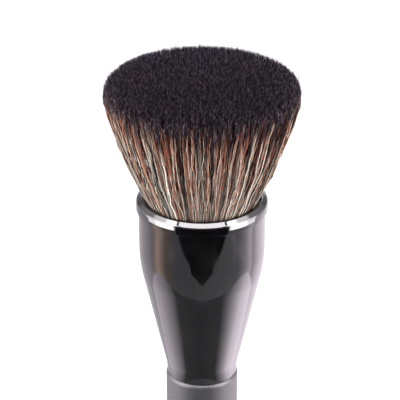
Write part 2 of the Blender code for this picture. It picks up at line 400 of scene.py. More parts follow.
@dataclass(frozen=True)
class AmberResin(Finish):
    """Set resin behind the roots, cloudy and full of fine bubbles."""

    clear: tuple = (0.36, 0.23, 0.09)
    cloudy: tuple = (0.52, 0.40, 0.22)
    clouds: Pattern = Pattern(320.0, low=0.4, high=0.7)
    roughness: float = 0.2
    cloud_dulling: float = 0.2
    bubble_scale: float = 2600.0
    bubble_edge: tuple = (0.10, 0.24)
    bubble_depth: float = 0.00006
    bubble_strength: float = 0.5

    def paint(self, graph: Graph) -> dict[str, Any]:
        """Amber body with paler clouds and small round pits.

        Args:
            graph: Graph of the material.

        Returns:
            Inputs of the shader, by name.
        """
        clouds = self.clouds.lay(graph)
        pits = graph.fit(graph.cells(self.bubble_scale), *self.bubble_edge)
        return {
            "Base Color": graph.mix(clouds, self.clear, self.cloudy),
            "Roughness": self.roughness + clouds * self.cloud_dulling,
            "Normal": graph.bump(pits, self.bubble_depth, self.bubble_strength),
        }


@dataclass(frozen=True)
class WaxedThread(Finish):
    """Twisted natural thread that ties the roots."""

    pale: tuple = (0.70, 0.64, 0.52)
    dark: tuple = (0.42, 0.36, 0.27)
    roughness: float = 0.72
    fuzz: Pattern = Pattern(6000.0)
    fuzz_share: float = 0.4
    fuzz_dulling: float = 0.2
    ply_scale: float = 620.0
    ply_distortion: float = 2.0
    ply_depth: float = 0.00005
    ply_strength: float = 0.8

    def paint(self, graph: Graph) -> dict[str, Any]:
        """Plies that slant across the thread, in uneven natural colour.

        Args:
            graph: Graph of the material.

        Returns:
            Inputs of the shader, by name.
        """
        plies = graph.node("ShaderNodeTexWave", {
            "Vector": graph.place(), "Scale": self.ply_scale, "Distortion": self.ply_distortion,
            "Detail": 1.0}, 1, bands_direction="DIAGONAL")
        fuzz = self.fuzz.lay(graph)
        cover = plies * (1 - self.fuzz_share) + fuzz * self.fuzz_share
        relief = plies + fuzz * self.fuzz_share
        return {
            "Base Color": graph.mix(cover, self.dark, self.pale),
            "Roughness": self.roughness + fuzz * self.fuzz_dulling,
            "Normal": graph.bump(relief, self.ply_depth, self.ply_strength),
        }


class FibreColour(Enum):
    """Colours of the mixed fibres, each with its share of the locks."""

    SOOT = (0.020, 0.014, 0.017), 0.15
    UMBER = (0.090, 0.044, 0.038), 0.14
    COPPER = (0.45, 0.185, 0.115), 0.19
    PEACH = (0.76, 0.490, 0.375), 0.15
    SAND = (0.46, 0.430, 0.350), 0.15
    CREAM = (0.95, 0.900, 0.800), 0.22

    def __init__(self, shade: tuple, share: float) -> None:
        """Keep the colour apart from its share."""
        self.shade = shade
        self.share = share


@dataclass(frozen=True)
class DyedFibre(Finish):
    """Fine crimped fibre in mixed colours, dipped in black at its tip.

    The climb runs from 0 at the mouth to 1 at the crown, the dip from 0 to 1
    over the dye's soft edge, and the tip from 0 to 1 over the fibre's end. Each
    range of them says where a change starts and ends, and then how strong it is
    at both, unless that is 0 and 1.
    """

    roughness: float = 0.45
    dimmest: float = 0.48
    dimness_spread: float = 0.86
    green_share: float = 0.99
    blue_share: float = 0.97
    dye: tuple = (0.0076, 0.0054, 0.0094)
    # Lighter black for the rim and side of the head: a painted highlight where the side catches light.
    painted_highlight_rim_dye: tuple = (0.0250, 0.0187, 0.0252)
    painted_highlight_climb: tuple = (0.90, 0.98)
    dye_dip: tuple = (0.1, 1.0)
    worn_dye: tuple = (0.72, 0.56, 0.70)
    # Worn tips fade from full on the rim to faint on the crown's top. The wear is random, and the rim's
    # extra share is a painted highlight.
    wear_and_painted_highlight_climb: tuple = (0.91, 0.99, 1.0, 0.26)
    worn_power: float = 5.0
    blunt_tip: tuple = (0.8, 1.0, 0.0, 0.012)
    pale: tuple = (0.62, 0.57, 0.49)
    pale_climb: tuple = (0.45, 0.0, 0.0, 0.20)
    warm: tuple = (0.95, 0.75, 0.70)
    warm_dip: tuple = (-2.4, 0.0)
    stain: tuple = (0.092, 0.046, 0.042)
    stain_dip: tuple = (-0.3, 0.6, 0.0, 0.75)

    def natural(self, graph: Graph, tone: Link) -> Link:
        """Colour of each fibre's lock, at the fibre's own lightness.

        Args:
            graph: Graph of the material.
            tone: Random number of each fibre.

        Returns:
            The colour.
        """
        stops = []
        place = 0.0
        for colour in FibreColour:
            stops.append((place, colour.shade))
            place += colour.share
        kind = graph.ramp(graph.carried("lock_tone"), stops, "CONSTANT")
        light = self.dimmest + tone * self.dimness_spread
        lightness = graph.node("ShaderNodeCombineColor", {
            0: light, 1: light * self.green_share, 2: light * self.blue_share})
        return graph.mix(1.0, kind, lightness, "MULTIPLY")

    def paint(self, graph: Graph) -> dict[str, Any]:
        """Natural colour at the root, warmer and darker towards the dip, and black above it, with the black
        painted lighter on the rim below the crown's top as a painted highlight.

        Args:
            graph: Graph of the material.

        Returns:
            Inputs of the shader, by name.
        """
        tone, dip, climb, tip = (graph.carried(name) for name in ("fibre_tone", "dip", "climb", "tip"))
        # Painted highlight: the black is painted lighter on the rim and side than on the crown's top.
        dye_with_painted_highlight = graph.mix(graph.fit(climb, *self.painted_highlight_climb), self.painted_highlight_rim_dye, self.dye)
        # Random lighter worn tips, made stronger on the rim than on the crown's top as part of the painted
        # highlight.
        wear_and_painted_highlight = tone ** self.worn_power * graph.fit(tip, 0.0, 1.0) * graph.fit(climb, *self.wear_and_painted_highlight_climb)
        black = graph.mix(wear_and_painted_highlight + graph.fit(tip, *self.blunt_tip), dye_with_painted_highlight, self.worn_dye)
        paled = graph.mix(graph.fit(climb, *self.pale_climb), self.natural(graph, tone), self.pale)
        warmed = graph.mix(graph.fit(dip, *self.warm_dip), paled, self.warm, "MULTIPLY")
        stained = graph.mix(graph.fit(dip, *self.stain_dip), warmed, self.stain)
        return {
            "Base Color": graph.mix(graph.fit(dip, *self.dye_dip), stained, black),
            "Roughness": self.roughness,
        }


@dataclass(frozen=True)
class BoundRoots(Finish):
    """Cut ends of the fibres, soaked in resin."""

    soaked: tuple = (0.16, 0.09, 0.05)
    cell_scale: float = 7000.0
    cell_share: float = 0.35
    cell_depth: float = 0.00003
    cell_strength: float = 0.6
    roughness: float = 0.45

    def paint(self, graph: Graph) -> dict[str, Any]:
        """Small cells in the fibres' colours, darkened by the resin.

        Args:
            graph: Graph of the material.

        Returns:
            Inputs of the shader, by name.
        """
        colours = graph.cells(self.cell_scale, "Color")
        relief = 1.0 - graph.cells(self.cell_scale)
        return {
            "Base Color": graph.mix(self.cell_share, self.soaked, colours, "MULTIPLY"),
            "Roughness": self.roughness,
            "Normal": graph.bump(relief, self.cell_depth, self.cell_strength),
        }


ENAMEL = GlossEnamel("black_enamel", "ferrule_gloss", ior=1.55)
LACQUER = SatinLacquer("satin_lacquer", "handle_lacquer", specular=0.395)
RESIN = AmberResin("amber_resin", "resin")
THREAD = WaxedThread("waxed_thread", "binding_thread", specular=0.3)
DARK_FIBRE = DyedFibre("dyed_fibre", "dark_fibre", specular=0.02)
MIXED_FIBRE = DyedFibre("dyed_fibre", "mixed_fibre", specular=0.02)
ROOTS = BoundRoots("bound_roots", "dark_fibre")


def place_piece(name: str, mesh: bpy.types.Mesh, finish: Finish, node: str) -> None:
    """Make a mesh a piece of the brush, riding on its body.

    Args:
        name: Name of the piece.
        mesh: Mesh whose points are already in place.
        finish: Finish of the whole piece.
        node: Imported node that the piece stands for.
    """
    piece = add_object(name, mesh)
    mesh.shade_smooth()
    mesh.materials.append(finish.material())
    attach(piece, BODY)
    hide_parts(node)
    LOG.info("%s: %d faces, %s", name, len(mesh.polygons), finish.name)


@dataclass(frozen=True)
class Corner:
    """Corner of a turned outline: its radius, height and the arc that rounds it."""

    radius: float
    height: float
    rounding: float = 0.0


@dataclass
class TurnedPiece:
    """Piece turned on a lathe from an outline of corners."""

    name: str
    node: str
    finish: Finish
    steps: int = 160
    arc_segments: int = 8
    crease: float = math.radians(50)
    support: float = 0.00012

    def corners(self) -> list[Corner]:
        """Corners of the outline, from its top down the outer side."""
        raise NotImplementedError

    def closed(self) -> bool:
        """Whether the outline is a loop, or runs from the axis to the axis."""
        return False

    def round_corner(self, bm: bmesh.types.BMesh, vert: bmesh.types.BMVert, rounding: float) -> None:
        """Bevel one corner of the outline to an arc.

        Args:
            bm: Mesh that holds the outline alone.
            vert: The corner.
            rounding: Radius of the arc.
        """
        sides = [(edge.other_vert(vert).co - vert.co).normalized() for edge in vert.link_edges]
        half_turn = (math.pi - sides[0].angle(sides[1])) / 2
        bmesh.ops.bevel(bm, geom=[vert], offset=rounding * math.tan(half_turn), offset_type="OFFSET",
                        segments=self.arc_segments, profile=0.5, affect="VERTICES", material=-1)

    def hold_flat(self, edge: bmesh.types.BMEdge) -> None:
        """Put a point near each end of a long straight run, so that it shades flat.

        Args:
            edge: Edge of the outline.
        """
        length = edge.calc_length()
        if length < 4 * self.support:
            return
        start, end = edge.verts
        first = bmesh.utils.edge_split(edge, start, self.support / length)[1]
        rest = next(part for part in first.link_edges if part.other_vert(first) is end)
        bmesh.utils.edge_split(rest, end, self.support / rest.calc_length())

    def outline(self, bm: bmesh.types.BMesh) -> None:
        """Draw the rounded outline in the plane of X and Z.

        Args:
            bm: Empty mesh to draw in.
        """
        corners = self.corners()
        verts = [bm.verts.new((c.radius, 0.0, c.height)) for c in corners]
        for first, second in zip(verts, verts[1:]):
            bm.edges.new((first, second))
        if self.closed():
            bm.edges.new((verts[-1], verts[0]))
        for vert, corner in zip(verts, corners):
            if corner.rounding:
                self.round_corner(bm, vert, corner.rounding)
        for edge in bm.edges[:]:
            self.hold_flat(edge)

    def build(self) -> None:
        """Turn the outline and dress it."""
        bm = bmesh.new()
        self.outline(bm)
        bmesh.ops.spin(bm, geom=bm.verts[:] + bm.edges[:], cent=(0, 0, 0), axis=(0, 0, 1),
                       angle=FULL_TURN, steps=self.steps, use_merge=True)
        bmesh.ops.remove_doubles(bm, verts=bm.verts[:], dist=TINY_LENGTH)
        bmesh.ops.recalc_face_normals(bm, faces=bm.faces[:])
        mesh = finish_mesh(bm, self.name)
        place_piece(self.name, mesh, self.finish, self.node)
        mesh.set_sharp_from_angle(angle=self.crease)


@dataclass
class FerruleSizes:
    """Sizes of the drawn ferrule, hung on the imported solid's own ends."""

    wall: float = 0.0006
    neck_length: float = 0.0015
    neck_radius: float = 0.0078
    neck_fillet: float = 0.013
    collar_length: float = 0.0156
    collar_radius: float = 0.01385
    collar_fillet: float = 0.030
    lip_inward: float = 0.00075
    lip_height: float = 0.0029
    lip_lean: float = 0.00006
    lip_face_drop: float = 0.0019
    lip_top_width: float = 0.00085
    lip_slope_drop: float = 0.0009
    lip_inner_depth: float = 0.0017
    lip_underside_drop: float = 0.0005

    def __post_init__(self) -> None:
        """Take the lower edge, the top and the lip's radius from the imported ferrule."""
        low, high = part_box("ferrule")
        self.foot = low.z
        self.top = high.z
        self.lip_radius = high.x
        self.cone_foot = self.foot + self.neck_length
        self.collar_foot = self.top - self.collar_length
        self.collar_bore = self.collar_radius - self.wall
        self.neck_bore = self.neck_radius - self.wall
        self.mouth_radius = self.collar_bore - self.lip_inward


@dataclass
class Ferrule(TurnedPiece):
    """Thin drawn ferrule with its rolled lip, collar, cone and short neck."""

    name: str = "ferrule_shell"
    node: str = "ferrule"
    finish: Finish = ENAMEL
    sizes: FerruleSizes = None
    inner_rounding: float = 0.00045
    top_rounding: float = 0.00035
    shoulder_rounding: float = 0.0006
    foot_rounding: float = 0.00006
    seam_rounding: float = 0.00012
    steps: int = 192
    arc_segments: int = 16

    def closed(self) -> bool:
        """The sleeve's wall is a loop of outline."""
        return True

    def corners(self) -> list[Corner]:
        """Over the lip, down the outside and back up the bore.

        Returns:
            Corners of the outline.
        """
        s = self.sizes
        lip_foot = s.top - s.lip_height
        inner_foot = s.top - s.lip_inner_depth
        return [
            Corner(s.mouth_radius, s.top, self.inner_rounding),
            Corner(s.mouth_radius + s.lip_top_width, s.top, self.top_rounding),
            Corner(s.lip_radius - s.lip_lean, s.top - s.lip_slope_drop, self.shoulder_rounding),
            Corner(s.lip_radius, s.top - s.lip_face_drop, self.shoulder_rounding),
            Corner(s.lip_radius, lip_foot, self.foot_rounding),
            Corner(s.collar_radius, lip_foot, self.seam_rounding),
            Corner(s.collar_radius, s.collar_foot, s.collar_fillet),
            Corner(s.neck_radius, s.cone_foot, s.neck_fillet),
            Corner(s.neck_radius, s.foot),
            Corner(s.neck_bore, s.foot),
            Corner(s.neck_bore, s.cone_foot, s.neck_fillet),
            Corner(s.collar_bore, s.collar_foot, s.collar_fillet),
            Corner(s.collar_bore, inner_foot - s.lip_underside_drop),
            Corner(s.mouth_radius, inner_foot),
        ]


@dataclass
class Handle(TurnedPiece):
    """Turned handle with its glued tenon, rounded shoulder and flat end."""

    name: str = "handle_turned"
    node: str = "handle"
    finish: Finish = LACQUER
    ferrule: FerruleSizes = None
    seat_gap: float = 0.0003
    taper: float = 0.00055
    shoulder_gap: float = 0.00008
    shoulder_rounding: float = 0.00095
    end_rounding: float = 0.001
    tenon_rounding: float = 0.0006
    groove_depth: float = 0.0004
    groove_width: float = 0.0018
    grooves: int = 3
    side_points: int = 8

    def tenon_side(self, top: float, shoulder: float, radius: float) -> list[Corner]:
        """Glue grooves down the tenon.

        Args:
            top: Height of the tenon's top.
            shoulder: Height of the handle's shoulder.
            radius: Radius of the tenon.

        Returns:
            Corners of the grooves, from the top one down.
        """
        corners = []
        spacing = (top - shoulder) / (self.grooves + 1)
        floor = radius - self.groove_depth
        for groove in range(self.grooves):
            middle = top - spacing * (groove + 1)
            upper = middle + self.groove_width / 2
            lower = middle - self.groove_width / 2
            corners += [Corner(radius, upper), Corner(floor, upper - self.groove_depth),
                        Corner(floor, lower + self.groove_depth), Corner(radius, lower)]
        return corners

    def corners(self) -> list[Corner]:
        """From the tenon's top down to the flat end.

        Returns:
            Corners of the outline.
        """
        low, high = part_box("handle")
        shoulder = self.ferrule.foot - self.shoulder_gap
        tenon = self.ferrule.neck_bore - self.seat_gap
        shares = [point / self.side_points for point in range(1, self.side_points)]
        return [
            Corner(0.0, high.z),
            Corner(tenon, high.z, self.tenon_rounding),
            *self.tenon_side(high.z, shoulder, tenon),
            Corner(tenon, shoulder),
            Corner(high.x, shoulder, self.shoulder_rounding),
            *[Corner(high.x - self.taper * share ** 2, shoulder * (1 - share)) for share in shares],
            Corner(high.x - self.taper, low.z, self.end_rounding),
            Corner(0.0, low.z),
        ]


@dataclass
class ResinPlug(TurnedPiece):
    """Resin poured behind the roots, which creeps up round them as a cup."""

    name: str = "resin_cast"
    node: str = "resin_plug"
    finish: Finish = RESIN
    ferrule: FerruleSizes = None
    roots_foot: float = 0.0
    roots_radius: float = 0.0
    seat_gap: float = 0.0003
    rim_rounding: float = 0.0002
    steps: int = 96

    def corners(self) -> list[Corner]:
        """From the cup's floor over its rim and down to the tenon.

        Returns:
            Corners of the outline.
        """
        low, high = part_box("resin_plug")
        s = self.ferrule
        share = (low.z - s.cone_foot) / (s.collar_foot - s.cone_foot)
        cone = s.neck_radius + (s.collar_radius - s.neck_radius) * share
        floor = self.roots_foot - self.seat_gap
        bore = self.roots_radius + self.seat_gap
        return [
            Corner(0.0, floor),
            Corner(bore, floor, self.rim_rounding),
            Corner(bore, high.z, self.rim_rounding),
            Corner(high.x, high.z, self.rim_rounding),
            Corner(high.x, s.collar_foot, s.collar_fillet),
            Corner(cone - s.wall - self.seat_gap, low.z, self.rim_rounding),
            Corner(0.0, low.z),
        ]


@dataclass
class RootBinding:
    """Waxed thread wound round the roots in close turns."""

    thread_sides: int = 10
    steps_each_turn: int = 64
    turns: int = 4
    name: str = "binding_thread_wound"
    node: str = "root_binding"

    def build(self) -> None:
        """Wind a ring of points round the axis as a rising tube."""
        low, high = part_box(self.node)
        pitch = (high.z - low.z) / (self.turns + 1)
        thread = pitch / 2
        centre = Matrix.Translation((high.x - thread, 0.0, low.z + thread))
        upright = Matrix.Rotation(math.radians(90), 4, "X")
        bm = bmesh.new()
        bmesh.ops.create_circle(bm, segments=self.thread_sides, radius=thread, matrix=centre @ upright)
        steps = self.steps_each_turn * self.turns
        bmesh.ops.spin(bm, geom=bm.verts[:] + bm.edges[:], cent=(0, 0, 0), axis=(0, 0, 1),
                       dvec=(0, 0, pitch * self.turns / steps), angle=FULL_TURN * self.turns, steps=steps)
        bmesh.ops.holes_fill(bm, edges=[edge for edge in bm.edges if edge.is_boundary], sides=0)
        bmesh.ops.recalc_face_normals(bm, faces=bm.faces[:])
        place_piece(self.name, finish_mesh(bm, self.name), THREAD, self.node)


@dataclass
class HeadForm:
    """Outer form of the bristle head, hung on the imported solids."""

    ferrule: FerruleSizes
    fit_gap: float = 0.0003
    mouth_below_lip: float = 0.00045
    widest_below_top: float = 0.0046
    rim_width: float = 0.003
    dome: float = 0.0005
    rim_power: float = 3.0
    side_bulge: float = 0.35
    side_margin: float = 0.00015
    solve_steps: int = 24

    def __post_init__(self) -> None:
        """Take the ends of the head and its widest level from the packed bristles and ferrule."""
        low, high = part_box("bristles_outer")
        self.root_foot = low.z
        self.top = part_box("bristles_core")[1].z
        self.limit = min(-low.x, -low.y, high.x, high.y)
        self.widest_radius = self.limit - self.side_margin
        self.mouth = self.ferrule.top - self.mouth_below_lip
        self.mouth_radius = self.ferrule.mouth_radius - self.fit_gap
        self.widest = self.top - self.widest_below_top

    def climb_share(self, height: np.ndarray) -> np.ndarray:
        """How far up from the mouth to the top each height is, from 0 to 1."""
        return np.clip((height - self.mouth) / (self.top - self.mouth), 0.0, 1.0)

    def radius_at(self, height: np.ndarray) -> np.ndarray:
        """Radius of the head's side at each height, straight inside the ferrule.

        Args:
            height: Heights.

        Returns:
            Radius at each height.
        """
        share = np.maximum(0.0, (height - self.mouth) / (self.widest - self.mouth))
        spread = share * (1 + self.side_bulge) - self.side_bulge * share ** 2
        return self.mouth_radius + (self.widest_radius - self.mouth_radius) * spread

    def crown_at(self, radius: np.ndarray) -> np.ndarray:
        """Height of the softly domed top and its rounded rim at each radius.

        Args:
            radius: Distances from the axis.

        Returns:
            Height at each distance.
        """
        flat = self.widest_radius - self.rim_width
        dome = self.top - self.dome * (radius / flat) ** 2
        share = np.clip((radius - flat) / self.rim_width, 0.0, 1.0)
        drop = self.widest_below_top - self.dome
        rim = self.widest + drop * (1 - share ** self.rim_power) ** (1 / self.rim_power)
        return np.where(radius <= flat, dome, rim)

    def tip_heights(self, reach: np.ndarray) -> np.ndarray:
        """Height where fibres meet the crown.

        Args:
            reach: Share of the head's radius at which each fibre grows.

        Returns:
            Height of each fibre's tip.
        """
        low = np.full_like(reach, self.mouth)
        high = np.full_like(reach, self.top)
        for _ in range(self.solve_steps):
            middle = (low + high) / 2
            under = self.crown_at(reach * self.radius_at(middle)) > middle
            low = np.where(under, middle, low)
            high = np.where(under, high, middle)
        return low


def disc_points(count: int) -> np.ndarray:
    """Points spread evenly over a disc of radius 1, in a golden-angle spiral.

    Args:
        count: Number of points.

    Returns:
        Place of each point.
    """
    index = np.arange(count)
    reach = np.sqrt((index + 0.5) / count)
    angle = index * GOLDEN_ANGLE
    return np.stack([reach * np.cos(angle), reach * np.sin(angle)], axis=1)


@dataclass
class Locks:
    """Locks that the fibres draw together in, each with its own wave and colour."""

    count: int
    seed: int
    crimp: float = 0.000095
    crimp_length: float = 0.0056
    wander: float = 0.00024
    wander_length: float = 0.021
    outward_crimp_share: float = 0.7
    outward_wander_share: float = 0.5
    length_least_share: float = 0.7
    length_spread_share: float = 0.7

    def __post_init__(self) -> None:
        """Place the locks over the mouth and draw what sets each apart."""
        chance = np.random.default_rng(self.seed)
        self.homes = disc_points(self.count)
        self.tone = chance.random(self.count)
        self.depth = chance.random(self.count)
        self.phases = chance.random((4, self.count)) * FULL_TURN
        self.strengths = chance.random((4, self.count))
        spread = self.length_spread_share * chance.random((4, self.count))
        self.lengths = self.length_least_share + spread
        self.tree = KDTree(self.count)
        for index, (x, y) in enumerate(self.homes):
            self.tree.insert((x, y, 0.0), index)
        self.tree.balance()

    def nearest(self, homes: np.ndarray) -> np.ndarray:
        """Number of the lock that each fibre belongs to."""
        return np.array([self.tree.find((x, y, 0.0))[1] for x, y in homes])

    def sway(self, lock: np.ndarray, climb: np.ndarray) -> tuple[np.ndarray, np.ndarray]:
        """Sideways and outward sway of the locks.

        Args:
            lock: Lock of each fibre.
            climb: Height above the mouth of each ring of each fibre.

        Returns:
            Sideways and outward distances, one for each ring of each fibre.
        """
        sizes = (self.crimp, self.crimp, self.wander, self.wander * self.outward_wander_share)
        lengths = (self.crimp_length, self.crimp_length, self.wander_length, self.wander_length)
        waves = []
        for row, (size, length) in enumerate(zip(sizes, lengths)):
            turn = FULL_TURN * climb / (length * self.lengths[row][lock][:, None])
            strength = size * 2 * self.strengths[row][lock][:, None]
            waves.append(strength * np.sin(turn + self.phases[row][lock][:, None]))
        return waves[0] + waves[2], waves[1] * self.outward_crimp_share + waves[3]


@dataclass
class FibreMesh:
    """Mesh of many fibres, which knows the fibre and the ring of each of its points."""

    mesh: bpy.types.Mesh
    points: np.ndarray
    rings: int
    cell_margin_share: float = 0.06

    def __post_init__(self) -> None:
        """Look up the fibre, the corner and the ring of every point."""
        self.strand = self.read("strand")
        self.corner = self.read("corner")
        self.ring = np.rint(self.points[:, 2] * self.rings).astype(int)[self.corner]

    def read(self, name: str) -> np.ndarray:
        """Whole numbers that the mesh carries at its points.

        Args:
            name: Name of the layer.

        Returns:
            The numbers.
        """
        values = np.zeros(len(self.mesh.vertices), np.int32)
        self.mesh.attributes[name].data.foreach_get("value", values)
        return values

    def shape(self, centre: np.ndarray, heights: np.ndarray, thick: np.ndarray, turn: np.ndarray) -> None:
        """Move the points to where each fibre grows.

        Args:
            centre: Place of each ring of each fibre.
            heights: Height of each ring of each fibre.
            thick: Radius of each ring of each fibre.
            turn: Angle that each fibre is turned by.
        """
        x, y = self.points[:, 0], self.points[:, 1]
        size = thick[self.strand, self.ring] * np.hypot(x, y)[self.corner]
        bearing = np.arctan2(y, x)[self.corner] + turn[self.strand]
        places = np.empty((len(self.strand), 3), np.float32)
        places[:, 0] = centre[self.strand, self.ring, 0] + size * np.cos(bearing)
        places[:, 1] = centre[self.strand, self.ring, 1] + size * np.sin(bearing)
        places[:, 2] = heights[self.strand, self.ring]
        self.mesh.vertices.foreach_set("co", places.ravel())

    def spread_map(self) -> None:
        """Give each fibre its own cell of the map."""
        across = math.ceil(math.sqrt(self.strand.max() + 1))
        owner = np.zeros(len(self.mesh.loops), np.int32)
        self.mesh.loops.foreach_get("vertex_index", owner)
        owner = self.strand[owner]
        layer = self.mesh.uv_layers[BAKE_MAP].uv
        places = np.zeros(len(owner) * 2, np.float32)
        layer.foreach_get("vector", places)
        places = places.reshape(-1, 2) * (1 - 2 * self.cell_margin_share) + self.cell_margin_share
        places[:, 0] += owner % across
        places[:, 1] += owner // across
        layer.foreach_set("vector", (places / across).ravel())

    def carry(self, name: str, values: np.ndarray) -> None:
        """Store numbers at the points.

        Args:
            name: Name of the layer.
            values: A number for each fibre, or for each ring of each fibre.
        """
        values = np.broadcast_to(values, (len(values), self.rings + 1))
        layer = self.mesh.attributes.new(name, "FLOAT", "POINT")
        layer.data.foreach_set("value", values[self.strand, self.ring].astype(np.float32))


@dataclass
class FibreShape:
    """Shape of a single fibre: a rod in a number of rings, which ends in a point."""

    rings: int
    sides: int = 3
    cap_share: float = 0.08
    cap_middle_share: float = 0.45
    cap_width_share: float = 0.3
    cap_height_share: float = 0.4

    def template(self) -> bmesh.types.BMesh:
        """Make one fibre of unit size.

        Returns:
            The fibre, whose points are numbered in the layer corner.
        """
        bm = bmesh.new()
        centred = Matrix.Translation((0, 0, 0.5))
        bmesh.ops.create_cone(bm, cap_ends=True, cap_tris=False, segments=self.sides,
                              radius1=1.0, radius2=1.0, depth=1.0, matrix=centred)
        upright = [edge for edge in bm.edges if abs(edge.verts[0].co.z - edge.verts[1].co.z) > 0.5]
        bmesh.ops.subdivide_edges(bm, edges=upright, cuts=self.rings - 1, use_grid_fill=True)
        tip = [vert for vert in bm.verts if vert.co.z > 1 - 0.5 / self.rings]
        bmesh.ops.scale(bm, verts=tip, vec=(0, 0, 1))
        bmesh.ops.remove_doubles(bm, verts=tip, dist=TINY_LENGTH)
        self.unwrap(bm)
        corner = bm.verts.layers.int.new("corner")
        bm.verts.layers.int.new("strand")
        bm.verts.index_update()
        for vert in bm.verts:
            vert[corner] = vert.index
        return bm

    def unwrap(self, bm: bmesh.types.BMesh) -> None:
        """Lay the sides of the fibre next to each other in a unit square, over its cap.

        Args:
            bm: Mesh of one fibre.
        """
        layer = bm.loops.layers.uv.new(BAKE_MAP)
        step = FULL_TURN / self.sides
        for face in bm.faces:
            middle = face.calc_center_median()
            is_side = abs(face.normal.z) < 0.5
            bearing = math.atan2(middle.y, middle.x)
            side = round(bearing / step) % self.sides
            for loop in face.loops:
                x, y, z = loop.vert.co
                if not is_side:
                    height = self.cap_share * (self.cap_middle_share + y * self.cap_height_share)
                    loop[layer].uv = (0.5 + x * self.cap_width_share, height)
                    continue
                turn = (math.atan2(y, x) - bearing + math.pi) % FULL_TURN - math.pi
                across = 0.5 + turn / step if math.hypot(x, y) > 0.5 else 0.5
                loop[layer].uv = ((side + across) / self.sides, self.cap_share + z * (1 - self.cap_share))

    def repeat(self, count: int) -> FibreMesh:
        """Repeat the fibre by doubling, until there are as many as asked for.

        Args:
            count: Number of fibres.

        Returns:
            The fibres, all in one place.
        """
        bm = self.template()
        points = np.array([vert.co for vert in bm.verts])
        strand = bm.verts.layers.int["strand"]
        made = 1
        while made < count:
            share = min(made, count - made)
            geom = [vert for vert in bm.verts if vert[strand] < share]
            geom += [edge for edge in bm.edges if edge.verts[0][strand] < share]
            geom += [face for face in bm.faces if face.verts[0][strand] < share]
            for item in bmesh.ops.duplicate(bm, geom=geom)["geom"]:
                if isinstance(item, bmesh.types.BMVert):
                    item[strand] += made
            made += share
        return FibreMesh(finish_mesh(bm, "fibres"), points, self.rings)


